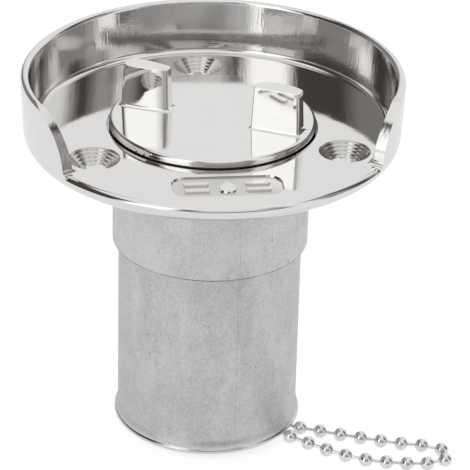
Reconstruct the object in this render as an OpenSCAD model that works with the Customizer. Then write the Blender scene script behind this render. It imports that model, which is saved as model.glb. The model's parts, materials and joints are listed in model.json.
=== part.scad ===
// Deck fill cap: a polished deck flange with a raised rim, a screw cap with two lugs,
// a threaded collar, a hose neck, and a bead chain that keeps the cap.
// Frame: origin at the centre of the flange's underside, +Z up along the neck,
// the opening in the rim towards -Y. All lengths are in millimetres.

/* [Flange] */
// Thickness of the rim at its top
rim_wall = 1.8; // [1.4:0.1:2.6]
// How much the rim's outer face draws in from the top to the underside
rim_draft = 0.6; // [0:0.1:1]
// How much the rim's inner face leans out from the deck to its top
rim_flare = 1; // [0.4:0.1:2]
// Thickness of the plate
plate_t = 4; // [3.6:0.1:6]
// Height of the rim above the deck
rim_h = 11.5; // [8:0.5:16]
// Rounding of the plate's lower edge
edge_round = 4; // [2:0.1:4]
// Fillet between the deck and the rim
deck_fillet = 1.2; // [0.6:0.1:2]
// Half of the rim's opening, in degrees from -Y
gap_half = 55.5; // [40:0.5:65]
// Radius of the rounded ends of the rim
rim_end_r = 11; // [6:0.5:11]
// Rounding of the deck's edge in the opening
front_round = 1.3; // [0.6:0.1:1.6]

/* [Deck screws] */
// Width of the deck between the cap's pocket and a countersink
sink_land = 2.45; // [1:0.05:6]
// Width of the deck between a countersink and the rim
sink_edge = 2.05; // [1.8:0.05:6]
// Number of screw holes
screw_count = 3; // [3:1:3]
// Diameter of a screw hole
screw_d = 5.2; // [4.2:0.1:5.6]
// Diameter of a countersink at the deck
sink_d = 10.3; // [9:0.1:11]
// Depth of a countersink
sink_depth = 2.6; // [1.5:0.1:3]

/* [Marking panel] */
// Width of the sunk panel
panel_w = 21.6; // [16:0.2:23]
// Depth of the panel from front to back
panel_d = 8.2; // [6:0.1:9]
// Width of the deck between the cap's pocket and the panel
panel_land = 2.9; // [2:0.1:4]
// How deep the panel is sunk
panel_sink = 0.4; // [0.2:0.1:0.8]
// Corner radius of the panel
panel_round = 2.8; // [1:0.1:2.9]

/* [Cap] */
// Radius of the cap's disc
cap_r = 21.1; // [20.8:0.1:22]
// Gap between the disc and its pocket in the deck
cap_gap = 0.3; // [0.2:0.05:0.5]
// How far the cap stands above the deck
cap_proud = 1.7; // [1:0.1:3]
// Rounding of the disc's top edge
cap_round = 0.8; // [0.3:0.1:0.9]
// Depth of the pocket below the deck
pocket_depth = 2.8; // [2.6:0.1:3]
// Thickness of the disc
disc_t = 3.8; // [3.6:0.1:4]
// Thickness of the skirt under its thread
skirt_wall = 2; // [1.5:0.1:3]
// Length of the skirt below the flange's underside
skirt_below = 13; // [10:0.5:14]
// Direction of the lugs, in degrees from +X
lug_dir = -26.6; // [-90:0.1:90]
// Distance of the lugs' inner ends from the axis, at their foot
lug_in = 9.1; // [8:0.1:12]
// Distance of the lugs' outer ends from the axis, at their foot
lug_out = 19.4; // [17:0.1:19.8]
// Thickness of a lug at its foot
lug_t = 4.8; // [3:0.1:7]
// Height of a lug above the cap
lug_h = 9; // [5:0.5:14]
// How much each side of a lug draws in towards the top
lug_draft = 0.35; // [0:0.05:0.6]
// Length of the cut corners on top of a lug
lug_corner = 0.5; // [0.3:0.1:2.5]

/* [Thread] */
// Lift of the cap in one turn
pitch = 3; // [2:0.25:4]
// Mean radius of the cap's thread
thread_r = 17; // [16.8:0.1:17.2]
// Height of the thread
thread_h = 1; // [0.6:0.1:1.2]
// Gap between the cap's thread and the collar's, along the radius
thread_gap = 0.35; // [0.3:0.05:0.5]
// Length of the collar's thread
collar_thread = 15; // [13.5:0.5:16]

/* [Seal] */
// Thickness of the seal ring
seal_d = 2.4; // [2.3:0.05:2.6]
// Mean radius of the seal ring
seal_r = 19.4; // [19.3:0.05:19.5]

/* [Collar and neck] */
// Length of the hub under the plate that the collar is welded to
hub_len = 0.8; // [0.4:0.1:2]
// Wall of the collar around its bore, which holds the thread and the neck
collar_wall = 1.25; // [1:0.05:2.5]
// Length of the collar to where its edge begins
collar_len = 21.6; // [19:0.1:26]
// Length of the collar's bevelled edge
collar_bevel = 0.4; // [0.2:0.1:3]
// Outer radius of the neck, half of the hose's bore
neck_r = 19.05; // [18.8:0.05:19.2]
// Wall of the neck
neck_wall = 1.5; // [1:0.1:1.8]
// Gap between the neck and its socket in the collar
neck_fit = 0.05; // [0.02:0.01:0.1]
// Distance from the flange's underside to the neck's lower end
neck_end = 63.3; // [50:0.1:90]
// How far the lip at the lower end flares out
lip_flare = 0.75; // [0.3:0.05:1.2]
// Length of the flare
lip_len = 3.4; // [2.5:0.1:8]

/* [Chain] */
// Diameter of a bead
bead_d = 2.9; // [2.4:0.05:3]
// Wall of a bead
bead_wall = 0.2; // [0.15:0.01:0.22]
// Distance between the centres of two beads
bead_pitch = 4.35; // [4.2:0.05:4.8]
// Diameter of the wire between the beads
wire_d = 0.72; // [0.5:0.02:0.78]
// Room under the lip where the chain goes out
chain_room = 2.1; // [1.9:0.05:2.4]
// Distance of the cap's chain from the cap's axis
swivel_reach = 6.6; // [6:0.1:8]

/* [Hidden] */
$fn = 96;
eps = 0.01;
over = 1;

// Radii of the flange, from the cap outwards: the cap's pocket, the screw circle,
// the deck's edge at the rim, and the rim
pocket_r = cap_r + cap_gap;
screw_circle = pocket_r + sink_land + sink_d / 2;
deck_r = screw_circle + sink_d / 2 + sink_edge;
rim_in_top = deck_r + rim_flare;
rim_r = rim_in_top + rim_wall;
rim_foot_r = rim_r - rim_draft;
panel_y = pocket_r + panel_land + panel_d / 2;

// Heights, measured from the flange's underside
deck_z = plate_t;
rim_top = plate_t + rim_h;
seat_z = deck_z - pocket_depth;
cap_top = deck_z + cap_proud;
disc_low = cap_top - disc_t;
collar_edge = collar_len + collar_bevel;
hub_low = -hub_len;

// Rounding on top of the rim, and the plate's outer radius at the height of the deck
rim_round = rim_wall * 0.48;
edge_r = rim_foot_r + rim_draft * deck_z / rim_top;

// Fillet at the foot of the rim's ends, and how far its cut runs into the metal beside it
end_fillet = 0.9;
fillet_bite = 0.15;

// Thread: half of its height, steps around, and steps up one turn
thread_amp = thread_h / 2;
thread_sides = 32;
thread_rows = 6;
thread_root = thread_r - thread_amp;
collar_root = thread_r + thread_gap + thread_amp;
skirt_in = thread_root - skirt_wall;
skirt_neck = thread_root - 0.2;
thread_start = 0.5;
relief_len = 1.5;
relief_r = collar_root + 0.3;
hub_bore = relief_r - 0.1;
neck_top = collar_thread + relief_len;
bore_r = neck_r - neck_wall;
collar_r = max(neck_r, relief_r) + collar_wall;

// Groove for the seal in the underside of the disc
seal_squeeze = 0.15;
seal_rest = 0.05;
seal_low = seat_z + seal_rest;
seal_high = seal_low + seal_d - seal_squeeze;
groove_side = 0.1;

// Lip: its rolled edge, and the floor that the part and its chain stand on.
// The chain lies under one side of the lip, so the neck leans a little away from it.
lip_r = neck_r + lip_flare;
lip_roll = 0.85;
lip_mid = lip_r - lip_roll;
lean_dir = -31;
lean = chain_room / (2 * lip_mid);
bead_r = bead_d / 2;

function floor_z(x, y) = -neck_end - lean * (x * cos(lean_dir) + y * sin(lean_dir) + lip_mid);
function on_floor(x, y) = [x, y, floor_z(x, y) + bead_r * sqrt(1 + lean * lean)];

// Swivel under the cap: a rivet through a boss, a washer and a bent strap
boss_r = 3.6;
boss_len = 4;
rivet_r = 1.48;
rivet_hole = 1.5;
rivet_head_r = 3;
rivet_head = 1.2;
swivel_play = 0.15;
strap_t = 1.2;
strap_w = 5;
strap_hole = 1.55;
washer_t = 0.6;
ceiling_z = disc_low + 0.7;
boss_low = ceiling_z - boss_len;
strap_top = boss_low - washer_t - swivel_play;
strap_low = strap_top - strap_t;
head_top = strap_low - swivel_play;

// Rings and bells at both ends of the chain
ring_r = 2;
ring_wire = 0.4;
ear_drop = 2.8;
ear_hole = 0.8;
ear_tip = 1.6;
tab_t = 0.8;
tab_w = 2.4;
tab_hole = 0.75;
tab_len = 2.1;
bell_r = 1.95;
bell_wall = 0.35;
bell_len = 3.8;
bell_mouth = 1;
ear_z = strap_low - ear_drop;
cap_ring_z = ear_z + 0.2 - ring_r;
cap_bell_z = cap_ring_z - ring_r;
bell_bead = tab_len + bell_wall + bell_len / 2 - 0.2;

// Eye in the neck's wall that holds the other end of the chain
eye_dir = -46;
eye_z = -28.9;
eye_r = 1.8;
eye_wire = 0.6;
eye_weld = 0.3;
eye_reach = 15.4;
eye_straight = 0.8;
anchor_ring_z = eye_z - eye_r + eye_wire + ring_wire + 0.1 - ring_r;
anchor_bell_z = anchor_ring_z - ring_r;

// Chain route: down from the cap, out under the lip, round on the floor and back
// under the lip, then up to the eye. The points are the middle of the chain: it hangs
// straight down to strand_end, turns out at bend_in, and comes back by bend_out to rise_end.
hang = [swivel_reach * cos(lean_dir), swivel_reach * sin(lean_dir)];
hang_top = cap_bell_z - bell_bead;
anchor = [eye_reach * cos(eye_dir), eye_reach * sin(eye_dir)];
anchor_top = anchor_bell_z - bell_bead;
strand_end = 9 - neck_end;
rise_end = 8 - neck_end;
bend_in = [1.2, -0.5, 3.2 - neck_end];
bend_out = [11.4, -10.5, 3 - neck_end];
function between(low, high, part) = low + part * (high - low);
route = concat(
    [for (part = [0:0.25:1]) [hang.x, hang.y, between(hang_top, strand_end, part)]],
    [
        [hang.x + bend_in.x, hang.y + bend_in.y, bend_in.z],
        on_floor(10.4, -5.6), on_floor(14.7, -7.3), on_floor(19, -9), on_floor(23.5, -10.4),
        on_floor(31, -12.7), on_floor(39.5, -15), on_floor(45, -15.9), on_floor(48.8, -17.8),
        on_floor(48.8, -21), on_floor(44.8, -22.6), on_floor(39.5, -22.6),
        on_floor(31, -21.1), on_floor(23.8, -17.5), on_floor(17.4, -12.9), on_floor(13.6, -10.6),
        bend_out
    ],
    [for (part = [0:0.5:1]) [anchor.x, anchor.y, between(rise_end, anchor_top, part)]]
);

// A smooth curve through the route's points, and its length at each point
curve_steps = 12;
function bend(a, b, c, d, t) =
    0.5 * (2 * b + (c - a) * t + (2 * a - 5 * b + 4 * c - d) * t * t + (3 * b - a - 3 * c + d) * t * t * t);
function smooth_line(p) = [
    for (i = [0:len(p) - 2], k = [0:curve_steps - 1])
        bend(p[max(i - 1, 0)], p[i], p[i + 1], p[min(i + 2, len(p) - 1)], k / curve_steps),
    p[len(p) - 1]
];
function running(p, i = 0, so_far = 0, out = []) =
    i == len(p) ? out
    : let (here = i == 0 ? 0 : so_far + norm(p[i] - p[i - 1])) running(p, i + 1, here, concat(out, [here]));
line = smooth_line(route);
run = running(line);
along = function (s, axis) lookup(s, [for (i = [0:len(line) - 1]) [run[i], line[i][axis]]]);

// Beads at even steps; the step is trimmed so that the last one sits in its bell
bead_count = round(run[len(run) - 1] / bead_pitch) + 1;
bead_step = run[len(run) - 1] / (bead_count - 1);
beads = [for (i = [0:bead_count - 1]) [for (axis = [0:2]) along(i * bead_step, axis)]];
// The upper beads of the cap's strand lift with the cap; the last of them has a wider hole
lift_count = 8;
hole_r = wire_d / 2 + 0.09;
end_hole_r = 0.62;
// Heads of the wires: their radius, and their distance from the bead's middle
link_head = 0.5;
head_at = 0.7;
echo(bead_count = bead_count, bead_step = bead_step, chain_length = run[len(run) - 1]);

// ---- shared shapes ----

// Points +Z along a direction
module aim(d) {
    rotate([0, acos(d.z / norm(d)), atan2(d.y, d.x)]) children();
}

// Square corner less a quarter circle, at a corner whose inside lies towards way.
// root is how far the square runs on behind the corner, into solid metal.
module corner(x, y, r, way, root = 0) {
    translate([x, y]) difference() {
        translate([way.x > 0 ? -root : -r, way.y > 0 ? -root : -r]) square(r + root);
        translate([way.x * r, way.y * r]) circle(r);
    }
}

// Rod with a rounded helical ridge on its whole length
module screw(mean_r, low, high) {
    rows = ceil((high - low) / pitch * thread_rows);
    points = [
        for (j = [0:rows], i = [0:thread_sides - 1])
            let (
                turn = i / thread_sides,
                z = low + (high - low) * j / rows,
                r = mean_r + thread_amp * cos(360 * (z / pitch - turn))
            ) [r * cos(360 * turn), r * sin(360 * turn), z]
    ];
    function at(i, j) = j * thread_sides + i % thread_sides;
    faces = concat(
        [[for (i = [0:thread_sides - 1]) at(i, 0)]],
        [[for (i = [thread_sides - 1:-1:0]) at(i, rows)]],
        [for (j = [0:rows - 1], i = [0:thread_sides - 1]) [at(i, j), at(i, j + 1), at(i + 1, j + 1)]],
        [for (j = [0:rows - 1], i = [0:thread_sides - 1]) [at(i, j), at(i + 1, j + 1), at(i + 1, j)]]
    );
    polyhedron(points, faces);
}

module ring_solid(mean_r, wire_r) {
    rotate_extrude() translate([mean_r, 0]) circle(wire_r);
}

// Small ring that hangs on edge, in the upright plane along angle
module hanging_ring(x, y, z, angle) {
    translate([x, y, z]) rotate([90, 0, angle]) ring_solid(ring_r, ring_wire);
}

// End fitting of the chain: a tab with a hole, and a cup that holds the last bead
module bell(x, y, z, angle) {
    translate([x, y, z]) rotate([0, 0, angle]) difference() {
        union() {
            translate([-tab_t / 2, -tab_w / 2, -tab_len - eps]) cube([tab_t, tab_w, tab_len + eps]);
            translate([-tab_t / 2, 0, 0]) rotate([0, 90, 0]) cylinder(r = tab_w / 2, h = tab_t);
            translate([0, 0, -tab_len - bell_len]) cylinder(r = bell_r, h = bell_len);
        }
        translate([-tab_t, 0, 0]) rotate([0, 90, 0]) cylinder(r = tab_hole, h = 2 * tab_t);
        translate([0, 0, bell_wall - tab_len - bell_len])
            cylinder(r = bell_r - bell_wall, h = bell_len - 2 * bell_wall);
        translate([0, 0, -over - tab_len - bell_len]) cylinder(r = bell_mouth, h = over + 2 * bell_wall);
    }
}

// Hollow bead with a hole towards each neighbour
module bead(i) {
    ahead = beads[min(i + 1, bead_count - 1)] - beads[min(i, bead_count - 2)];
    behind = beads[max(i - 1, 0)] - beads[max(i, 1)];
    translate(beads[i]) difference() {
        aim(ahead) rotate([90, 0, 0]) sphere(bead_r);
        aim(ahead) rotate([90, 0, 0]) sphere(bead_r - bead_wall);
        if (i < bead_count - 1)
            aim(ahead) cylinder(r = i == lift_count - 1 ? end_hole_r : hole_r, h = bead_d);
        if (i > 0) aim(behind) cylinder(r = hole_r, h = bead_d);
    }
}

// Wire with a head at each end, between bead i and the next
module link(i) {
    way = beads[i + 1] - beads[i];
    gap = norm(way);
    translate(beads[i]) aim(way) {
        translate([0, 0, head_at]) cylinder(r = wire_d / 2, h = gap - 2 * head_at);
        translate([0, 0, head_at]) rotate([90, 0, 0]) sphere(link_head);
        translate([0, 0, gap - head_at]) rotate([90, 0, 0]) sphere(link_head);
    }
}

// ---- flange ----

// Half section of the plate and the rim, the whole way round
module flange_section() {
    difference() {
        union() {
            polygon([
                [hub_bore, hub_low], [collar_r, hub_low], [collar_r + hub_len, 0],
                [rim_foot_r, 0], [rim_r, rim_top], [rim_in_top, rim_top],
                [deck_r, deck_z], [hub_bore, deck_z]
            ]);
            corner(deck_r, deck_z, deck_fillet, [-1, 1], deck_fillet / 4);
        }
        corner(edge_r + eps, 0, edge_round, [-1, 1], over);
        corner(rim_r, rim_top, rim_round, [-1, -1], over);
        corner(rim_in_top, rim_top, rim_round, [1, -1], over);
        translate([0, seat_z]) square([pocket_r, plate_t]);
    }
}

// Cuts the right end of the rim to its rounded shape, with a small fillet at its foot
module rim_end() {
    mid_z = rim_top - rim_end_r;
    foot_z = deck_z + end_fillet;
    fillet_in = deck_r - deck_fillet - fillet_bite;
    rotate([0, 0, 270 + gap_half]) rotate([90, 0, 90]) {
        translate([0, 0, deck_r - rim_end_r]) linear_extrude(rim_r - deck_r + 2 * rim_end_r) difference() {
            polygon([
                [-end_fillet - fillet_bite, foot_z], [0, foot_z], [0, mid_z], [rim_end_r, mid_z],
                [rim_end_r, rim_top + over], [-end_fillet - fillet_bite, rim_top + over]
            ]);
            translate([rim_end_r, mid_z]) circle(rim_end_r);
        }
        translate([-end_fillet, foot_z, fillet_in])
            cylinder(r = end_fillet + fillet_bite / 5, h = rim_r + over - fillet_in);
    }
}

module rim_opening() {
    cut_r = deck_r - deck_fillet;
    round_r = edge_r - front_round;
    round_z = deck_z - front_round;
    far = 2 * rim_r;
    side = [far * sin(gap_half), -far * cos(gap_half)];
    tip = -end_fillet / sin(gap_half);
    intersection() {
        rotate_extrude() difference() {
            polygon([
                [cut_r, deck_z], [round_r, deck_z], [round_r, round_z], [far, round_z],
                [far, rim_top + over], [cut_r, rim_top + over]
            ]);
            translate([round_r, round_z]) circle(front_round);
        }
        linear_extrude(rim_top + 2 * over)
            polygon([[0, tip], [-side.x, side.y + tip], [0, -far], [side.x, side.y + tip]]);
    }
    rim_end();
    mirror([1, 0, 0]) rim_end();
}

module screw_holes() {
    for (i = [0:screw_count - 1]) rotate([0, 0, 90 + 360 * i / screw_count]) translate([screw_circle, 0, 0]) {
        translate([0, 0, -over]) cylinder(d = screw_d, h = plate_t + 2 * over);
        translate([0, 0, deck_z - sink_depth]) cylinder(d1 = screw_d, d2 = sink_d, h = sink_depth);
        translate([0, 0, deck_z - eps]) cylinder(d = sink_d, h = over);
    }
}

// Sunk panel with a raised drop between two pairs of bars
module panel_outline() {
    square([panel_w - 2 * panel_round, panel_d], center = true);
    square([panel_w, panel_d - 2 * panel_round], center = true);
    for (x = [-1, 1], y = [-1, 1])
        translate([x * (panel_w / 2 - panel_round), y * (panel_d / 2 - panel_round)]) circle(panel_round);
}

module panel_motif() {
    drop_r = panel_d * 0.21;
    shoulder = drop_r * 0.85;
    bar = [panel_w * 0.22, panel_d * 0.14];
    translate([0, -drop_r * 0.45]) {
        circle(drop_r);
        polygon([[-shoulder, drop_r * 0.4], [shoulder, drop_r * 0.4], [0, drop_r * 2]]);
    }
    for (x = [-1, 1], y = [-1, 1])
        translate([x * panel_w * 0.28, y * panel_d * 0.16]) square(bar, center = true);
}

module deck_flange() {
    color("silver") difference() {
        rotate_extrude() flange_section();
        rim_opening();
        screw_holes();
        translate([0, -panel_y, deck_z - panel_sink]) linear_extrude(over) difference() {
            panel_outline();
            panel_motif();
        }
    }
}

// ---- collar and neck ----

module thread_collar() {
    color("darkgray") difference() {
        rotate_extrude() polygon([
            [0, hub_low], [collar_r, hub_low], [collar_r, -collar_len],
            [neck_r + neck_fit + 0.15, -collar_edge], [0, -collar_edge]
        ]);
        screw(thread_r + thread_gap, -collar_thread - eps, hub_low + over);
        translate([0, 0, -neck_top]) cylinder(r = relief_r, h = relief_len);
        translate([0, 0, -collar_edge - over])
            cylinder(r = neck_r + neck_fit, h = collar_edge + over - neck_top);
    }
}

module hose_neck() {
    roll_z = lip_roll - neck_end;
    lip_in = lip_r - 2 * lip_roll;
    color("darkgray") rotate_extrude() difference() {
        polygon([
            [bore_r, -neck_top], [neck_r, -neck_top], [neck_r, lip_len - neck_end], [lip_r, roll_z],
            [lip_r, -neck_end], [lip_in, -neck_end], [lip_in, roll_z], [bore_r, lip_len - neck_end]
        ]);
        corner(lip_r, -neck_end, lip_roll * 0.97, [-1, 1], over);
        corner(lip_in, -neck_end, lip_roll * 0.97, [1, 1], over);
    }
}

// ---- cap ----

// One lug, tapered towards its top, with its upper corners cut
module lug() {
    half_t = lug_t / 2;
    foot = cap_top - 0.5;
    top = cap_top + lug_h;
    intersection() {
        translate([0, half_t, 0]) rotate([90, 0, 0]) linear_extrude(lug_t) polygon([
            [lug_in, foot], [lug_out, foot], [lug_out - lug_draft, top - lug_corner],
            [lug_out - lug_draft - lug_corner, top], [lug_in + lug_draft, top]
        ]);
        translate([lug_in, 0, 0]) rotate([90, 0, 90]) linear_extrude(lug_out - lug_in) polygon([
            [-half_t, foot], [half_t, foot], [half_t - lug_draft, top], [lug_draft - half_t, top]
        ]);
    }
}

module cap_body() {
    color("silver") difference() {
        union() {
            rotate_extrude() difference() {
                translate([0, disc_low]) square([cap_r, disc_t]);
                corner(cap_r, cap_top, cap_round, [-1, -1]);
            }
            for (turn = [0, 180]) rotate([0, 0, lug_dir + turn]) lug();
            translate([0, 0, -thread_start - over])
                cylinder(r = skirt_neck, h = disc_low + thread_start + 2 * over);
            screw(thread_r, -skirt_below, -thread_start);
        }
        difference() {
            translate([0, 0, -skirt_below - over]) cylinder(r = skirt_in, h = skirt_below + ceiling_z + over);
            translate([0, 0, boss_low]) cylinder(r = boss_r, h = boss_len + over);
        }
        translate([0, 0, boss_low - over]) cylinder(r = rivet_hole, h = boss_len + over);
        rotate_extrude() translate([seal_r - seal_d / 2 - groove_side, disc_low - over])
            square([seal_d + 2 * groove_side, seal_high - disc_low + over + eps]);
    }
}

module cap_seal() {
    color("black") intersection() {
        translate([0, 0, seal_low + (seal_high - seal_low) / 2]) ring_solid(seal_r, seal_d / 2);
        translate([0, 0, seal_low]) cylinder(r = cap_r, h = seal_high - seal_low);
    }
}

// ---- swivel and chain ----

module swivel_rivet() {
    color("lightgray") {
        translate([0, 0, head_top - eps]) cylinder(r = rivet_r, h = boss_low + boss_len - 0.1 - head_top);
        translate([0, 0, head_top - rivet_head]) rotate_extrude() difference() {
            square([rivet_head_r, rivet_head]);
            corner(rivet_head_r, 0, 0.6, [-1, 1]);
        }
    }
}

module swivel_washer() {
    color("lightgray") translate([0, 0, boss_low - washer_t]) difference() {
        cylinder(r = boss_r - 0.2, h = washer_t);
        translate([0, 0, -over]) cylinder(r = strap_hole, h = washer_t + 2 * over);
    }
}

module swivel_strap() {
    color("lightgray") rotate([0, 0, lean_dir]) difference() {
        union() {
            translate([0, 0, strap_low]) cylinder(r = strap_w / 2, h = strap_t);
            translate([0, -strap_w / 2, strap_low])
                cube([swivel_reach + strap_t / 2, strap_w, strap_t]);
            translate([swivel_reach - strap_t / 2, -strap_w / 2, ear_z])
                cube([strap_t, strap_w, ear_drop + strap_t]);
            translate([swivel_reach - strap_t / 2, 0, ear_z]) intersection() {
                rotate([0, 90, 0]) cylinder(r = strap_w / 2, h = strap_t);
                translate([0, -strap_w / 2, -ear_tip]) cube([strap_t, strap_w, ear_tip + over]);
            }
        }
        translate([0, 0, strap_low - over]) cylinder(r = strap_hole, h = strap_t + 2 * over);
        translate([swivel_reach - strap_t, 0, ear_z])
            rotate([0, 90, 0]) cylinder(r = ear_hole, h = 2 * strap_t);
    }
}

module cap_ring() {
    color("lightgray") hanging_ring(hang.x, hang.y, cap_ring_z, lean_dir);
}

module cap_bell() {
    color("lightgray") bell(hang.x, hang.y, cap_bell_z, lean_dir);
}

module cap_strand_beads() {
    color("gainsboro") for (i = [0:lift_count - 1]) bead(i);
}

module cap_strand_links() {
    color("gray") for (i = [0:lift_count - 2]) link(i);
}

module floor_loop_beads() {
    color("gainsboro") for (i = [lift_count:bead_count - 1]) bead(i);
}

module floor_loop_links() {
    color("gray") for (i = [lift_count - 1:bead_count - 2]) link(i);
}

module anchor_bell() {
    color("lightgray") bell(anchor.x, anchor.y, anchor_bell_z, eye_dir + 90);
}

module anchor_ring() {
    color("lightgray") hanging_ring(anchor.x, anchor.y, anchor_ring_z, eye_dir + 90);
}

// Staple with a round end, its two arms let into the neck's wall
module anchor_eye() {
    inner_end = eye_reach - eye_straight;
    arm = bore_r + eye_weld - inner_end;
    color("lightgray") rotate([0, 0, eye_dir]) translate([inner_end, 0, eye_z]) {
        for (z = [-eye_r, eye_r]) translate([0, 0, z]) rotate([0, 90, 0]) cylinder(r = eye_wire, h = arm);
        intersection() {
            rotate([90, 0, 0]) ring_solid(eye_r, eye_wire);
            translate([-2 * eye_r, -eye_r, -2 * eye_r]) cube([2 * eye_r + eps, 2 * eye_r, 4 * eye_r]);
        }
    }
}

deck_flange();
thread_collar();
hose_neck();
cap_body();
cap_seal();
swivel_rivet();
swivel_washer();
swivel_strap();
cap_ring();
cap_bell();
cap_strand_beads();
cap_strand_links();
floor_loop_beads();
floor_loop_links();
anchor_bell();
anchor_ring();
anchor_eye();
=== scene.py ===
"""Dresses the deck fill cap: polished flange and cap, satin collar and neck, bright bead chain.

Lengths are in millimetres while a piece is shaped, and its mesh is scaled to metres at the end.
The frame is the model's own: origin at the centre of the flange's underside, +Z up, the rim's
opening towards -Y.
"""
import json
import math

import bmesh
import bpy
from mathutils import Matrix, Vector


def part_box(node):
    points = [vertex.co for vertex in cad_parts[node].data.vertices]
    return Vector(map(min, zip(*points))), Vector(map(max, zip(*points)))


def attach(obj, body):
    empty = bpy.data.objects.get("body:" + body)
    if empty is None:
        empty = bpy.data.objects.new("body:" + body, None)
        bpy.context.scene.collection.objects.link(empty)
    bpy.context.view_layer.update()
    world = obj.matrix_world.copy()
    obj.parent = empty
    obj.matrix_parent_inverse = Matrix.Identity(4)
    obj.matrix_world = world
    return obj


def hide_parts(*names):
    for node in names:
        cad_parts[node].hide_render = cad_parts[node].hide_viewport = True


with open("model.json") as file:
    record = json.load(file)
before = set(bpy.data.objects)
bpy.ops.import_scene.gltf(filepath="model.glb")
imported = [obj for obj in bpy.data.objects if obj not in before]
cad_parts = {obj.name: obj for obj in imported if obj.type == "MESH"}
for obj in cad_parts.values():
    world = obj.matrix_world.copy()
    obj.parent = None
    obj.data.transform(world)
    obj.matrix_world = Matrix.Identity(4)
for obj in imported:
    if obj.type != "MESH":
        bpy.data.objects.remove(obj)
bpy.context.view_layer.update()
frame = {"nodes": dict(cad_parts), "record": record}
nodes = frame["nodes"]
MM = 0.001


def extent(node):
    """Lowest and highest corner of a node, in millimetres."""
    low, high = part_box(node)
    return low / MM, high / MM


# ---- sizes, in millimetres ----

flange_low, flange_high = extent("deck_flange")
cap_low, cap_high = extent("cap_body")
neck_low, neck_high = extent("hose_neck")
collar_low = extent("thread_collar")[0]

RIM_TOP = flange_high.z
RIM_H = 11.5
DECK_Z = RIM_TOP - RIM_H
RIM_R = flange_high.x
RIM_WALL = 1.8
RIM_ROUND = 0.48 * RIM_WALL
RIM_FLARE = 1.0
DECK_R = RIM_R - RIM_WALL - RIM_FLARE
RIM_DRAFT = 0.6
EDGE_ROUND = 4.0
EDGE_R = RIM_R - RIM_DRAFT * RIM_H / RIM_TOP
DECK_FILLET = 1.2
GAP_HALF = math.radians(55.5)
RIM_END_R = 11.0
END_FILLET = 0.9
FRONT_ROUND = 1.3
HUB_LOW = flange_low.z
HUB_R = 20.3
HUB_BORE = 18.05

SCREW_CIRCLE = 29.0
SCREW_R = 2.6
SINK_R = 5.15
SINK_DEPTH = 2.6
TURN_STEP = 0.55
PANEL = Vector((21.6, 8.2))
PANEL_Y = 28.4
PANEL_SINK = 0.4
PANEL_SLOPE = 0.18
PANEL_ROUND = 2.8

CAP_R = 21.1
POCKET_R = CAP_R + 0.3
SEAT_Z = DECK_Z - 2.8
CAP_TOP = DECK_Z + 1.7
CAP_ROUND = 0.8
LUG_TURN = math.radians(-26.6)
LUG_IN = 9.1
LUG_OUT = 19.4
LUG_T = 4.8
LUG_H = cap_high.z - CAP_TOP
LUG_DRAFT = 0.35
LUG_FILLET = 0.55
LUG_EDGE = 0.2

NECK_R = 19.05
BORE_R = 17.55
LIP_R = neck_high.x
LIP_ROLL = 1.25
LIP_LEN = 3.4
NECK_TOP = neck_high.z
SEAM_X = 4.0

# The floor under the lip and the chain: the neck leans a little away from the chain
LEAN_DIR = math.radians(-31)
LIP_MID = 18.95
LEAN = 2.1 / (2 * LIP_MID)


# ---- camera ----

CAMERA_AT = Vector((-56.63, -495.44, 239.97))
CAMERA_RIGHT = Vector((0.99346, -0.11174, 0.02333))
CAMERA_UP = Vector((0.0314, 0.46396, 0.8853))
CAMERA_LENS = 207.02


def make_camera():
    camera = bpy.data.cameras.new("camera")
    camera.lens = CAMERA_LENS
    camera.sensor_width = 36
    camera.clip_start = 0.01
    camera.clip_end = 20
    holder = bpy.data.objects.new("camera", camera)
    bpy.context.scene.collection.objects.link(holder)
    back = CAMERA_RIGHT.cross(CAMERA_UP)
    turn = Matrix((CAMERA_RIGHT, CAMERA_UP, back)).transposed().to_4x4()
    holder.matrix_world = Matrix.Translation(CAMERA_AT * MM) @ turn
    bpy.context.scene.camera = holder


# ---- shader arithmetic ----


class Value:
    """A socket with arithmetic: each operator adds a Math node to the socket's tree."""

    def __init__(self, tree, socket):
        self.tree = tree
        self.socket = socket

    def math(self, operation, *others):
        made = self.tree.nodes.new("ShaderNodeMath")
        made.operation = operation
        for slot, item in zip(made.inputs, (self,) + others):
            if isinstance(item, Value):
                self.tree.links.new(item.socket, slot)
            else:
                slot.default_value = item
        return Value(self.tree, made.outputs[0])

    def flipped(self, operation, other):
        made = self.math(operation, other)
        first, second = made.socket.node.inputs[:2]
        self.tree.links.remove(first.links[0])
        first.default_value = other
        self.tree.links.new(self.socket, second)
        return made

    def __add__(self, other):
        return self.math("ADD", other)

    def __sub__(self, other):
        return self.math("SUBTRACT", other)

    def __mul__(self, other):
        return self.math("MULTIPLY", other)

    def __truediv__(self, other):
        return self.math("DIVIDE", other)

    def __radd__(self, other):
        return self.math("ADD", other)

    def __rmul__(self, other):
        return self.math("MULTIPLY", other)

    def __rsub__(self, other):
        return self.flipped("SUBTRACT", other)

    def band(self, low, high, to_low=0.0, to_high=1.0):
        """Runs smoothly from to_low at low to to_high at high."""
        made = self.tree.nodes.new("ShaderNodeMapRange")
        made.interpolation_type = "SMOOTHSTEP"
        self.tree.links.new(self.socket, made.inputs[0])
        for slot, number in zip(made.inputs[1:5], (low, high, to_low, to_high)):
            slot.default_value = number
        return Value(self.tree, made.outputs[0])


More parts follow.
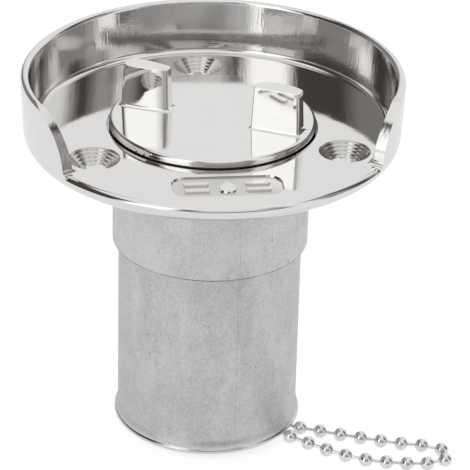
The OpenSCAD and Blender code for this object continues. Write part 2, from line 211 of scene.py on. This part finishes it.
class Shader:
    """The node tree of a material or of the world."""

    def __init__(self, owner):
        owner.use_nodes = True
        self.tree = owner.node_tree
        self.tree.nodes.clear()

    def add(self, kind, inputs=None, output=0, **settings):
        """Adds a node: its settings first, then the values or links of its inputs."""
        made = self.tree.nodes.new(kind)
        for name, item in settings.items():
            setattr(made, name, item)
        for name, item in (inputs or {}).items():
            if isinstance(item, Value):
                self.tree.links.new(item.socket, made.inputs[name])
            else:
                made.inputs[name].default_value = item
        return Value(self.tree, made.outputs[output])

    def colours(self, factor, stops):
        """Runs factor through a colour ramp of (position, colour) stops."""
        made = self.tree.nodes.new("ShaderNodeValToRGB")
        ramp = made.color_ramp
        while len(ramp.elements) < len(stops):
            ramp.elements.new(0.5)
        for element, (position, colour) in zip(ramp.elements, stops):
            element.position = position
            element.color = (*colour, 1)
        self.tree.links.new(factor.socket, made.inputs[0])
        return Value(self.tree, made.outputs[0])

    def place(self):
        return self.add("ShaderNodeTexCoord", output=3)

    def noise(self, scale, detail=3.0, roughness=0.5, stretch=None):
        """Noise on the object's own coordinates, drawn out along an axis where stretch says."""
        where = self.place()
        if stretch:
            where = self.add("ShaderNodeMapping", {"Vector": where, "Scale": stretch})
        inputs = {"Vector": where, "Scale": scale, "Detail": detail, "Roughness": roughness}
        return self.add("ShaderNodeTexNoise", inputs)

    def finish(self, surface, kind="ShaderNodeOutputMaterial"):
        out = self.tree.nodes.new(kind)
        self.tree.links.new(surface.socket, out.inputs["Surface"])


def split(shader, vector):
    parts = shader.tree.nodes.new("ShaderNodeSeparateXYZ")
    shader.tree.links.new(vector.socket, parts.inputs[0])
    return [Value(shader.tree, socket) for socket in parts.outputs]


def grey(level, warm=0.0):
    return (level * (1 + warm), level, level * (1 - warm), 1)


# ---- finishes ----


def polished_casting():
    """Mirror polish over a cast surface: faint waves, orange peel, streaks up the rim, turned holes, and painted
    shade in and round the holes, in the cap's gap and low on the rim's back wall.
    """
    material = bpy.data.materials.new("polished_casting")
    shader = Shader(material)
    clouds = shader.noise(220, 4)
    peel = shader.noise(1500, 2)
    waves = shader.noise(120, 1)
    hammered = shader.noise(3600, 2)
    streaks = shader.noise(420, 3, 0.6, stretch=(1, 1, 0.12))
    x, y, z = split(shader, shader.place())
    radius = (x * x + y * y).math("SQRT")
    wall = radius.band((DECK_R - 0.4) * MM, (DECK_R + 0.4) * MM) * z.band((DECK_Z + 0.6) * MM, (DECK_Z + 1.6) * MM)
    inner_back = radius.band((RIM_R - 1.6) * MM, (RIM_R - 1.2) * MM, 1, 0) * y.band(0, MM)
    unpolished = wall * inner_back * (x + 5 * MM).math("ABSOLUTE").band(3 * MM, 14 * MM, 1, 0)
    unpolished = unpolished * z.band((RIM_TOP - 7) * MM, (RIM_TOP - 3) * MM)
    # painted shade: the rim's inner wall is darkened low down at the back, standing in for the dark reflections
    # there
    painted_wall_shade = radius.band((DECK_R - 0.4) * MM, (DECK_R + 0.2) * MM) * inner_back
    painted_wall_shade = painted_wall_shade * (x + 4 * MM).math("ABSOLUTE").band(8 * MM, 20 * MM, 1, 0)
    painted_wall_shade = painted_wall_shade * z.band((DECK_Z + 2.5) * MM, (DECK_Z + 8) * MM, 1, 0)
    height = peel * 0.10 + waves * 0.9 + wall * (streaks * 1.1 + peel * 0.12) + unpolished * hammered * 0.9
    cast = shader.add("ShaderNodeBump", {"Height": height, "Strength": 0.35, "Distance": 0.00012})
    nearest = None
    for i in range(3):
        bearing = math.radians(90 + 120 * i)
        dx = x - SCREW_CIRCLE * MM * math.cos(bearing)
        dy = y - SCREW_CIRCLE * MM * math.sin(bearing)
        away = (dx * dx + dy * dy).math("SQRT")
        nearest = nearest.math("MINIMUM", away) if nearest else away
    inside = nearest.band((SINK_R - 0.15) * MM, (SINK_R - 0.05) * MM, 1, 0)
    inside = inside * nearest.band((SCREW_R + 0.05) * MM, (SCREW_R + 0.15) * MM)
    rings = (nearest * (2 * math.pi / (TURN_STEP * MM)) + clouds * 5.0).math("SINE")
    turned_bump = {"Height": rings * inside, "Strength": 1.0, "Distance": 0.018 * MM, "Normal": cast}
    bump = shader.add("ShaderNodeBump", turned_bump)
    in_panel = (
        x.math("ABSOLUTE").band(PANEL.x / 2 * MM, (PANEL.x / 2 + 0.1) * MM, 1, 0)
        * (y + PANEL_Y * MM).math("ABSOLUTE").band(PANEL.y / 2 * MM, (PANEL.y / 2 + 0.1) * MM, 1, 0)
        * z.band((DECK_Z - PANEL_SINK * 0.8) * MM, (DECK_Z - PANEL_SINK * 0.6) * MM, 1, 0)
    )
    # painted shade: a near-black ring low in the gap between the cap and its pocket, at the front
    painted_gap_shade = (
        radius.band((POCKET_R + 0.1) * MM, (POCKET_R + 0.2) * MM, 1, 0)
        * radius.band((POCKET_R - 0.6) * MM, (POCKET_R - 0.4) * MM)
        * z.band((DECK_Z - 0.25) * MM, (DECK_Z - 0.1) * MM, 1, 0)
        * y.band(-6 * MM, 4 * MM, 1, 0)
    )
    # painted shade: a dark line round the edge of each countersink
    painted_sink_edge_shade = nearest.band((SINK_R - 0.25) * MM, (SINK_R - 0.1) * MM) * nearest.band(
        SINK_R * MM, (SINK_R + 0.15) * MM, 1, 0
    )
    # inside darkens the countersinks: painted shade in the holes, over their real turned rings and rougher finish
    shade = clouds * 0.3 + 0.4 - in_panel * 0.25 - inside * 0.25 - painted_sink_edge_shade * 0.3 - painted_wall_shade * 0.42
    # the first stop, near black, is the colour of the painted shade
    steel = [(0.0, (0.06, 0.05, 0.045)), (0.02, (0.48, 0.46, 0.44)), (0.5, (0.82, 0.81, 0.80)), (1, (0.86, 0.855, 0.85))]
    colour = shader.colours(shade * (1 - painted_gap_shade), steel)
    inputs = {
        "Base Color": colour,
        "Metallic": 1.0,
        "Roughness": clouds * 0.05 + wall * 0.03 + unpolished * 0.06 + in_panel * 0.1 + inside * 0.12 + 0.04,
        "Normal": bump,
    }
    shader.finish(shader.add("ShaderNodeBsdfPrincipled", inputs))
    return material


def brushed_cap():
    """The cap's casting: polished like the flange, with faint brush lines on its top and painted shade low on its
    side at the front.
    """
    material = bpy.data.materials.new("brushed_cap")
    shader = Shader(material)
    clouds = shader.noise(220, 4)
    lines = shader.noise(900, 3, 0.6, stretch=(0.08, 1, 1))
    waves = shader.noise(150, 1)
    height = lines * 0.05 + waves * 1.0
    bump = shader.add("ShaderNodeBump", {"Height": height, "Strength": 0.35, "Distance": 0.00012})
    x, y, z = split(shader, shader.place())
    up = split(shader, shader.add("ShaderNodeNewGeometry", output=1))[2]
    top_face = up.band(0.9, 0.97) * z.band((CAP_TOP + 0.4) * MM, (CAP_TOP + 0.5) * MM, 1, 0)
    radius = (x * x + y * y).math("SQRT")
    # painted shade: the cap's side just below the deck, at the front, darkened nearly to black and made rougher, for
    # the shade in the gap round the cap
    painted_cap_side_shade = radius.band((CAP_R - 0.12) * MM, (CAP_R - 0.04) * MM) * z.band(
        (DECK_Z + 0.25) * MM, (DECK_Z + 0.6) * MM, 1, 0
    )
    painted_cap_side_shade = painted_cap_side_shade * y.band(-6 * MM, 4 * MM, 1, 0)
    # the first stop, near black, is the colour of the painted shade
    steel = [(0.0, (0.07, 0.06, 0.055)), (0.1, (0.80, 0.79, 0.78)), (1.0, (0.88, 0.875, 0.865))]
    colour = shader.colours((clouds * 0.6 + 0.2) * (1 - painted_cap_side_shade), steel)
    inputs = {
        "Base Color": colour,
        "Metallic": 1.0,
        "Roughness": top_face * (lines * 0.06) + clouds * 0.04 + painted_cap_side_shade * 0.3 + 0.03,
        "Normal": bump,
    }
    shader.finish(shader.add("ShaderNodeBsdfPrincipled", inputs))
    return material


def satin_tube():
    """Bead-blasted stainless steel: grain, blotches, scuffs, a faint seam, a polished lip, and a painted shadow
    under the collar.
    """
    material = bpy.data.materials.new("satin_tube")
    shader = Shader(material)
    blotches = shader.noise(110, 6, 0.7)
    grain = shader.noise(2400, 3, 0.6)
    pits = shader.noise(1300, 4, 0.7)
    smears = shader.noise(260, 4, 0.6, stretch=(1, 1, 0.25))
    scratch_field = shader.noise(150, 2, 0.5, stretch=(1, 1, 0.5))
    x, y, z = split(shader, shader.place())
    lip = z.band((neck_low.z + LIP_ROLL) * MM, (neck_low.z + LIP_ROLL + 0.25) * MM, 1, 0)
    height = grain * 0.5 + blotches * 0.5 + pits * 0.6
    bump = shader.add("ShaderNodeBump", {"Height": height, "Strength": 0.4, "Distance": 0.0001})
    # painted shadow: a dark line along the collar's lower edge and on the neck just below it
    painted_joint_shadow = (z - (collar_low.z + 0.1) * MM).math("ABSOLUTE").band(0.34 * MM, 0.52 * MM, 1, 0)
    on_collar = (x * x + y * y).math("SQRT").band((NECK_R + 0.2) * MM, (NECK_R + 0.4) * MM)
    thin = (scratch_field - 0.5).math("ABSOLUTE").band(0.0, 0.004, 1, 0) * pits.band(0.5, 0.56)
    seam = (x - SEAM_X * MM).math("ABSOLUTE").band(0.0, 0.12 * MM, 1, 0) * (0 - y).band(0, 1 * MM) * 0.12
    tone = blotches * 0.32 + smears * 0.18 + grain * 0.35 + pits * 0.15 + on_collar * 0.04
    tone = tone - thin * 0.3 - seam - painted_joint_shadow * 0.4
    stops = [(0.0, (0.12, 0.115, 0.11)), (0.40, (0.52, 0.515, 0.51)), (0.60, (0.74, 0.735, 0.73))]
    colour = shader.colours(tone + lip * 0.12, stops)
    inputs = {
        "Base Color": colour,
        "Metallic": 1.0,
        "Roughness": 0.34 - lip * 0.24 + blotches * 0.1,
        "Normal": bump,
    }
    shader.finish(shader.add("ShaderNodeBsdfPrincipled", inputs))
    return material


def bright_wire():
    """Bright stainless steel of the beads and their wires."""
    material = bpy.data.materials.new("bright_wire")
    shader = Shader(material)
    clouds = shader.noise(900, 3)
    colour = shader.colours(clouds, [(0.35, (0.76, 0.75, 0.735)), (0.65, (0.87, 0.86, 0.85))])
    bump = shader.add("ShaderNodeBump", {"Height": clouds, "Strength": 0.2, "Distance": 0.00005})
    inputs = {"Base Color": colour, "Metallic": 1.0, "Roughness": clouds * 0.05 + 0.03, "Normal": bump}
    shader.finish(shader.add("ShaderNodeBsdfPrincipled", inputs))
    return material


def plain_steel():
    """Punched sheet and wire as it comes from the press, slightly matte."""
    material = bpy.data.materials.new("plain_steel")
    shader = Shader(material)
    rolled = shader.noise(700, 3, 0.5, stretch=(1, 0.2, 1))
    colour = shader.colours(rolled, [(0.35, (0.50, 0.49, 0.48)), (0.65, (0.62, 0.61, 0.60))])
    bump = shader.add("ShaderNodeBump", {"Height": rolled, "Strength": 0.2, "Distance": 0.00005})
    inputs = {"Base Color": colour, "Metallic": 1.0, "Roughness": rolled * 0.15 + 0.25, "Normal": bump}
    shader.finish(shader.add("ShaderNodeBsdfPrincipled", inputs))
    return material


def black_rubber():
    """Matte nitrile with a bloom of grey."""
    material = bpy.data.materials.new("black_rubber")
    shader = Shader(material)
    bloom = shader.noise(400, 4)
    colour = shader.colours(bloom, [(0.35, (0.02, 0.02, 0.02)), (0.7, (0.05, 0.05, 0.052))])
    bump = shader.add("ShaderNodeBump", {"Height": bloom, "Strength": 0.2, "Distance": 0.0001})
    inputs = {"Base Color": colour, "Roughness": bloom * 0.2 + 0.55, "Normal": bump}
    shader.finish(shader.add("ShaderNodeBsdfPrincipled", inputs))
    return material


# ---- mesh helpers ----


def arc(centre_r, centre_z, radius, start, end, steps=8):
    """Points of a profile's rounding, from angle start to angle end in degrees."""
    return [
        (
            centre_r + radius * math.cos(math.radians(start + (end - start) * i / steps)),
            centre_z + radius * math.sin(math.radians(start + (end - start) * i / steps)),
        )
        for i in range(steps + 1)
    ]


def to_object(bm, name):
    """Merges doubles, points the faces outwards and makes the mesh an object, still in millimetres."""
    bmesh.ops.remove_doubles(bm, verts=bm.verts, dist=1e-4)
    loose = [edge for edge in bm.edges if not edge.link_faces]
    bmesh.ops.delete(bm, geom=loose, context="EDGES")
    bmesh.ops.recalc_face_normals(bm, faces=bm.faces)
    mesh = bpy.data.meshes.new(name)
    bm.to_mesh(mesh)
    bm.free()
    made = bpy.data.objects.new(name, mesh)
    bpy.context.scene.collection.objects.link(made)
    return made


def turned(name, points, steps=192):
    """Solid of revolution about Z from a closed outline of (radius, height) points."""
    bm = bmesh.new()
    verts = [bm.verts.new((r, 0, z)) for r, z in points]
    edges = [bm.edges.new((a, b)) for a, b in zip(verts, verts[1:] + verts[:1])]
    bmesh.ops.spin(
        bm, geom=verts + edges, cent=(0, 0, 0), axis=(0, 0, 1), angle=2 * math.pi, steps=steps, use_merge=True
    )
    return to_object(bm, name)


def slab(name, outline, low, high, place=None, flare=None):
    """Prism of an outline of (x, y) points from low to high, flared at its top, moved by place."""
    bm = bmesh.new()
    face = bm.faces.new([bm.verts.new((x, y, low)) for x, y in outline])
    grown = bmesh.ops.extrude_face_region(bm, geom=[face])["geom"]
    top = [v for v in grown if isinstance(v, bmesh.types.BMVert)]
    bmesh.ops.translate(bm, verts=top, vec=(0, 0, high - low))
    if flare:
        reach_x = max(abs(v.co.x) for v in top)
        reach_y = max(abs(v.co.y) for v in top)
        bmesh.ops.scale(bm, verts=top, vec=(1 + flare / reach_x, 1 + flare / reach_y, 1))
    if place:
        bmesh.ops.transform(bm, matrix=place, verts=bm.verts)
    return to_object(bm, name)


def carve(piece, operation, tools):
    """Applies a boolean of each tool to the piece and removes the tools."""
    for tool in tools:
        cut = piece.modifiers.new(tool.name, "BOOLEAN")
        cut.operation = operation
        cut.solver = "EXACT"
        cut.object = tool
    bpy.context.view_layer.update()
    solved = piece.evaluated_get(bpy.context.evaluated_depsgraph_get())
    mesh = bpy.data.meshes.new_from_object(solved)
    piece.modifiers.clear()
    piece.data = mesh
    for tool in tools:
        bpy.data.objects.remove(tool)


def smooth_edges(piece, width, sharp=30, segments=2):
    """Cleans the mesh, scales it to metres, rounds its sharp edges and keeps its flats flat."""
    bm = bmesh.new()
    bm.from_mesh(piece.data)
    bmesh.ops.remove_doubles(bm, verts=bm.verts, dist=0.003)
    bmesh.ops.dissolve_degenerate(bm, edges=bm.edges, dist=0.003)
    bmesh.ops.scale(bm, vec=(MM, MM, MM), verts=bm.verts)
    for face in bm.faces:
        face.smooth = True
    bm.to_mesh(piece.data)
    bm.free()
    if width:
        bevel = piece.modifiers.new("soft_edges", "BEVEL")
        bevel.limit_method = "ANGLE"
        bevel.angle_limit = math.radians(sharp)
        bevel.width = width * MM
        bevel.segments = segments
        bevel.use_clamp_overlap = True
    weigh = piece.modifiers.new("flat_faces", "WEIGHTED_NORMAL")
    weigh.mode = "FACE_AREA"
    weigh.weight = 50


# ---- flange ----


def flange_outline():
    top_out = arc(RIM_R - RIM_ROUND, RIM_TOP - RIM_ROUND, RIM_ROUND, 0, 90, 6)
    in_top = RIM_R - RIM_WALL
    top_in = arc(in_top + RIM_ROUND, RIM_TOP - RIM_ROUND, RIM_ROUND, 90, 180, 6)
    return [
        (HUB_BORE, HUB_LOW),
        (HUB_R, HUB_LOW),
        (HUB_R - HUB_LOW, 0),
        *arc(EDGE_R - EDGE_ROUND, EDGE_ROUND, EDGE_ROUND, -90, 0, 12),
        *top_out,
        *top_in,
        *arc(DECK_R - DECK_FILLET, DECK_Z + DECK_FILLET, DECK_FILLET, -5, -90, 6),
        *arc(POCKET_R + 0.2, DECK_Z - 0.2, 0.2, 90, 180, 3),
        (POCKET_R, SEAT_Z),
        (HUB_BORE, SEAT_Z),
    ]


def opening_tool():
    """Clears the rim over its opening and rounds the deck's edge there."""
    inner = DECK_R - DECK_FILLET
    round_r = EDGE_R - FRONT_ROUND
    outline = [
        (inner, DECK_Z),
        *arc(round_r, DECK_Z - FRONT_ROUND, FRONT_ROUND, 90, 0, 8),
        (RIM_R + 2, DECK_Z - FRONT_ROUND),
        (RIM_R + 2, RIM_TOP + 1),
        (inner, RIM_TOP + 1),
    ]
    ring = turned("opening_ring", outline)
    reach = 2 * RIM_R
    tip = -END_FILLET / math.sin(GAP_HALF)
    side = Vector((math.sin(GAP_HALF), -math.cos(GAP_HALF))) * reach
    sector = [(0, tip), (-side.x, side.y + tip), (0, -reach), (side.x, side.y + tip)]
    wedge = slab("opening_wedge", sector, 0, RIM_TOP + 2)
    carve(ring, "INTERSECT", [wedge])
    return ring


def rim_end_tool(side):
    """Cuts one end of the rim to its rounded shape; side is 1 on the right and -1 on the left."""
    mid_z = RIM_TOP - RIM_END_R
    foot_z = DECK_Z + END_FILLET
    over = 0.15
    outline = [
        (-END_FILLET - over, DECK_Z),
        *arc(-END_FILLET, foot_z, END_FILLET, -90, 0, 6),
        *arc(RIM_END_R, mid_z, RIM_END_R, 180, 90, 24),
        (RIM_END_R, RIM_TOP + 1),
        (-END_FILLET - over, RIM_TOP + 1),
    ]
    bearing = -math.pi / 2 + GAP_HALF
    upright = Matrix(((0, 0, 1, 0), (1, 0, 0, 0), (0, 1, 0, 0), (0, 0, 0, 1)))
    place = Matrix.Rotation(bearing, 4, "Z") @ upright
    if side < 0:
        place = Matrix.Diagonal((-1, 1, 1, 1)) @ place
    return slab("rim_end", outline, DECK_R - DECK_FILLET, RIM_R + 2, place)


def screw_tools():
    made = []
    for i in range(3):
        bearing = math.radians(90 + 120 * i)
        outline = [
            (0, -2),
            (SCREW_R, -2),
            (SCREW_R, DECK_Z - SINK_DEPTH),
            (SINK_R - 0.1, DECK_Z - 0.1),
            (SINK_R + 0.15, DECK_Z + 0.05),
            (SINK_R + 0.15, DECK_Z + 1),
            (0, DECK_Z + 1),
        ]
        tool = turned("screw_hole", outline, 64)
        tool.data.transform(
            Matrix.Translation((SCREW_CIRCLE * math.cos(bearing), SCREW_CIRCLE * math.sin(bearing), 0))
        )
        made.append(tool)
    return made


def rounded_box(half, radius, steps=6):
    """Outline of a rectangle with round corners."""
    outline = []
    for turn, (x, y) in enumerate(((1, 1), (-1, 1), (-1, -1), (1, -1))):
        outline += arc(x * (half.x - radius), y * (half.y - radius), radius, 90 * turn, 90 * turn + 90, steps)
    return outline


def panel_tools():
    """The sunk panel, less a raised drop and two pairs of bars."""
    middle = Matrix.Translation((0, -PANEL_Y, 0))
    floor_z = DECK_Z - PANEL_SINK
    slope = PANEL_SLOPE / PANEL_SINK
    panel = slab("panel", rounded_box(PANEL / 2, PANEL_ROUND), floor_z, DECK_Z + 1, middle, slope * (PANEL_SINK + 1))
    drop_r = PANEL.y * 0.24
    drop = [(x, y - drop_r * 0.45) for x, y in arc(0, 0, drop_r, 150, 390, 20)] + [(0, drop_r * 1.45)]
    raised = [slab("drop", drop, floor_z - 1, DECK_Z + 2, middle, -0.9)]
    bar = Vector((PANEL.x * 0.12, PANEL.y * 0.075))
    for x in (-1, 1):
        for y in (-1, 1):
            place = middle @ Matrix.Translation((x * PANEL.x * 0.28, y * PANEL.y * 0.17, 0))
            raised.append(slab("bar", rounded_box(bar, 0.2, 3), floor_z - 0.5, DECK_Z + 0.1, place, -0.2))
    carve(panel, "DIFFERENCE", raised)
    return [panel]


def make_flange(finish):
    flange = turned("flange_casting", flange_outline())
    tools = [opening_tool(), rim_end_tool(1), rim_end_tool(-1), *screw_tools(), *panel_tools()]
    carve(flange, "DIFFERENCE", tools)
    smooth_edges(flange, 0.14)
    flange.data.materials.clear()
    flange.data.materials.append(finish)
    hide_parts("deck_flange")
    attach(flange, "fitting")
    return flange


# ---- cap ----


def lug_solid(turn, narrowed, rounds):
    """One lug, lofted from its foot fillet to its rounded top.

    narrowed says how far each side draws in at the inner end, the middle and the outer end;
    rounds are the radii of the four upright edges, from the outer one of the first side.
    """
    top = CAP_TOP + LUG_H
    layers = [(CAP_TOP - 0.5, 0.83 * LUG_FILLET)]
    for i in range(6):
        turned_by = math.radians(-100 - 16 * i)
        rise = LUG_FILLET * (1 + math.sin(turned_by))
        layers.append((CAP_TOP + rise, LUG_FILLET * (1 + math.cos(turned_by))))
    for i in range(5):
        turned_by = math.radians(22.5 * i)
        rise = LUG_EDGE * (1 - math.sin(turned_by))
        layers.append((top - rise, -LUG_EDGE * (1 - math.cos(turned_by))))
    loops = []
    bm = bmesh.new()
    for z, grown in layers:
        inset = LUG_DRAFT * max(0, z - CAP_TOP) / LUG_H - grown
        inner, outer = LUG_IN + inset, LUG_OUT - inset

        def half(side, u):
            at_in, at_mid, at_out = narrowed[side]
            less = at_in * (1 - u) * (1 - 2 * u) + 4 * at_mid * u * (1 - u) + at_out * u * (2 * u - 1)
            return LUG_T / 2 - inset - less

        def side_points(side, start, end):
            spots = [start + (end - start) * i / 12 for i in range(13)]
            sign = -1 if side == 0 else 1
            return [(x, sign * half(side, (x - inner) / (outer - inner))) for x in spots]

        def corner_points(x_sign, side, radius, start):
            x_end, u = (outer, 1) if x_sign > 0 else (inner, 0)
            sign = -1 if side == 0 else 1
            return arc(x_end - x_sign * radius, sign * (half(side, u) - radius), radius, start, start + 90, 5)[1:-1]

        out_first, out_second, in_second, in_first = rounds
        outline = side_points(0, inner + in_first, outer - out_first)
        outline += corner_points(1, 0, out_first, -90)
        outline += corner_points(1, 1, out_second, 0)
        outline += side_points(1, outer - out_second, inner + in_second)
        outline += corner_points(-1, 1, in_second, 90)
        outline += corner_points(-1, 0, in_first, 180)
        loops.append([bm.verts.new((x, y, z)) for x, y in outline])
    for low, high in zip(loops, loops[1:]):
        for i in range(len(low)):
            j = (i + 1) % len(low)
            bm.faces.new((low[i], low[j], high[j], high[i]))
    bm.faces.new(loops[0][::-1])
    bm.faces.new(loops[-1])
    bmesh.ops.rotate(bm, cent=(0, 0, 0), matrix=Matrix.Rotation(turn, 3, "Z"), verts=bm.verts)
    return to_object(bm, "lug")


def skirt_copy(cut_z):
    """The cap below its disc's upper edge, with its thread and boss, from the cap's own solid."""
    bm = bmesh.new()
    bm.from_mesh(nodes["cap_body"].data)
    bmesh.ops.scale(bm, vec=(1 / MM, 1 / MM, 1 / MM), verts=bm.verts)
    bmesh.ops.remove_doubles(bm, verts=bm.verts, dist=1e-3)
    geom = bm.verts[:] + bm.edges[:] + bm.faces[:]
    bmesh.ops.bisect_plane(bm, geom=geom, plane_co=(0, 0, cut_z), plane_no=(0, 0, 1), clear_outer=True)
    bmesh.ops.holes_fill(bm, edges=[e for e in bm.edges if e.is_boundary], sides=0)
    return to_object(bm, "skirt")


def make_cap(finish):
    join_z = CAP_TOP - CAP_ROUND - 1.0
    outline = [
        (0, join_z - 0.1),
        (CAP_R, join_z - 0.1),
        *arc(CAP_R - CAP_ROUND, CAP_TOP - CAP_ROUND, CAP_ROUND, 0, 90, 8),
        (0, CAP_TOP),
    ]
    cap = turned("cap_casting", outline)
    right_lug = lug_solid(LUG_TURN, ((0, 0, 0), (1.45, 0.15, 1.5)), (0.6, 0.3, 0.4, 0.2))
    left_lug = lug_solid(LUG_TURN + math.pi, ((1.1, 0.15, 0.1), (0.75, 0.1, 0.15)), (1.0, 0.7, 0.35, 0.4))
    carve(cap, "UNION", [right_lug, left_lug, skirt_copy(join_z)])
    smooth_edges(cap, 0.12, 40)
    cap.data.materials.clear()
    cap.data.materials.append(finish)
    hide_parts("cap_body")
    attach(cap, "cap")
    return cap


# ---- neck ----


def make_neck(finish):
    """The straight tube, its flare and the rolled bead at its end."""
    low = neck_low.z
    bead = LIP_ROLL / 2
    flare = []
    for i in range(9):
        part = i / 8
        smooth = part * part * (3 - 2 * part)
        flare.append((NECK_R + (LIP_R - 0.3 - NECK_R) * smooth, low + LIP_LEN + (LIP_ROLL - LIP_LEN) * part))
    inside = LIP_R - 2 * bead
    outline = [
        (BORE_R, NECK_TOP),
        (NECK_R, NECK_TOP),
        *flare,
        *arc(LIP_R - bead, low + bead, bead, 62, -90, 12),
        *arc(inside - 0.1, low + 0.4, 0.4, -90, -180, 4),
        (BORE_R, low + LIP_LEN),
    ]
    neck = turned("neck_tube", outline)
    smooth_edges(neck, 0)
    neck.data.materials.clear()
    neck.data.materials.append(finish)
    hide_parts("hose_neck")
    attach(neck, "fitting")


# ---- floor and world ----

# Soft panels round the object: bearing of the middle and half width in degrees from +X, softness
# of the sides, lowest and highest elevation, and brightness. Between them the studio is dark.
PANELS = (
    ("left_front", 225, 17, 7, -90, 58, 1.0),
    ("right_front", 323, 13, 8, -90, 58, 0.65),
    ("right", 346, 9, 8, -90, 58, 0.24),
    ("back", 60, 42, 13, -90, 58, 0.64),
    ("back_left", 130, 26, 12, -90, 40, 0.13),
    ("over_camera", 280, 26, 9, 31, 58, 0.54),
    ("beside_camera", 248, 12, 14, -90, 31, 0.38),
    ("below_camera", 266, 24, 12, -90, 2, 0.44),
    ("round_camera", 272, 40, 14, -4, 33, 0.2),
    ("ceiling", 0, 360, 10, 54, 90, 0.66),
)
BRIGHTEST = 1.32
FLOOR_NEAR = 0.17
FLOOR_FAR = 0.26
FLOOR_GAP = -82
FLOOR_GAP_HALF = 26


def studio(shader, x, y, z):
    """Colour of the studio in a direction."""
    to_degrees = 180 / math.pi
    flat = (x * x + y * y).math("SQRT")
    rise = z.math("ARCTAN2", flat) * to_degrees
    around = y.math("ARCTAN2", x) * to_degrees
    level = None
    for _, middle, half, soft, low, high, bright in PANELS:
        away = ((around + (900 - middle)).math("MODULO", 360.0) - 180.0).math("ABSOLUTE")
        wide = away.band(half - soft, half + soft, bright, 0)
        tall = rise.band(low - 4, low + 4) * rise.band(high - 4, high + 4, 1, 0)
        panel = wide * tall
        level = level.math("MAXIMUM", panel) if level else panel
    return shader.colours(level, [(0, (0.048, 0.043, 0.040)), (1, (1, 1, 1))])


def make_floor():
    """A white floor that keeps the object's shadow. In the metal it is white only near the object."""
    material = bpy.data.materials.new("floor")
    shader = Shader(material)
    path = shader.tree.nodes.new("ShaderNodeLightPath")
    glossy = Value(shader.tree, path.outputs["Is Glossy Ray"])
    seen = Value(shader.tree, path.outputs["Is Camera Ray"]) * 0.8 + glossy * 0.61
    paint = shader.add("ShaderNodeBsdfDiffuse", {"Color": grey(0.4)})
    glow = shader.add("ShaderNodeEmission", {"Color": grey(1.0), "Strength": seen})
    white = shader.add("ShaderNodeAddShader", {0: paint, 1: glow})
    x, y, z = split(shader, shader.place())
    distance = (x * x + y * y).math("SQRT")
    bearing = y.math("ARCTAN2", x) * (180 / math.pi)
    gap = (bearing + (540 - FLOOR_GAP)).math("MODULO", 360.0)
    gap = (gap - 180.0).math("ABSOLUTE").band(FLOOR_GAP_HALF - 10, FLOOR_GAP_HALF + 10, 1, 0)
    far = distance.band(FLOOR_NEAR, FLOOR_FAR) * gap
    beyond = shader.add("ShaderNodeEmission", {"Color": studio(shader, x, y, z * 0.0), "Strength": BRIGHTEST})
    ground = shader.add("ShaderNodeMixShader", {0: glossy * far, 1: white, 2: beyond})
    clear = shader.add("ShaderNodeBsdfTransparent")
    behind = shader.add("ShaderNodeNewGeometry", output=6)
    shader.finish(shader.add("ShaderNodeMixShader", {0: behind, 1: ground, 2: clear}))
    bm = bmesh.new()
    bmesh.ops.create_grid(bm, x_segments=1, y_segments=1, size=3000)
    for vert in bm.verts:
        along = vert.co.x * math.cos(LEAN_DIR) + vert.co.y * math.sin(LEAN_DIR)
        vert.co.z = neck_low.z - LEAN * (along + LIP_MID)
    bmesh.ops.scale(bm, vec=(MM, MM, MM), verts=bm.verts)
    bm.normal_update()
    bmesh.ops.reverse_faces(bm, faces=[face for face in bm.faces if face.normal.z < 0])
    mesh = bpy.data.meshes.new("floor")
    bm.to_mesh(mesh)
    bm.free()
    mesh.materials.append(material)
    floor = bpy.data.objects.new("floor", mesh)
    bpy.context.scene.collection.objects.link(floor)


def make_world():
    """White all round for the camera; for the metal, soft panels with dark gaps between them."""
    world = bpy.data.worlds.new("studio")
    bpy.context.scene.world = world
    shader = Shader(world)
    path = shader.tree.nodes.new("ShaderNodeLightPath")
    x, y, z = split(shader, shader.add("ShaderNodeTexCoord", output=0))
    lit = shader.add("ShaderNodeBackground", {"Color": studio(shader, x, y, z), "Strength": BRIGHTEST})
    white = shader.add("ShaderNodeBackground", {"Color": grey(1.0)})
    shader.finish(
        shader.add(
            "ShaderNodeMixShader", {0: Value(shader.tree, path.outputs["Is Camera Ray"]), 1: lit, 2: white}
        ),
        "ShaderNodeOutputWorld",
    )


# ---- the dressed object ----

make_camera()
make_floor()
make_world()

casting = polished_casting()
cap_finish = brushed_cap()
FINISHES = {
    "satin_steel": satin_tube(),
    "bare_steel": plain_steel(),
    "chain_steel": bright_wire(),
    "seal_rubber": black_rubber(),
    "polished_steel": casting,
}
for part in frame["record"]["subparts"]:
    shown = nodes[part["node"]]
    for held in shown.material_slots:
        held.material = FINISHES[part["material_slot"]]

make_flange(casting)
make_cap(cap_finish)
make_neck(FINISHES["satin_steel"])

bpy.context.scene.view_settings.view_transform = "Standard"
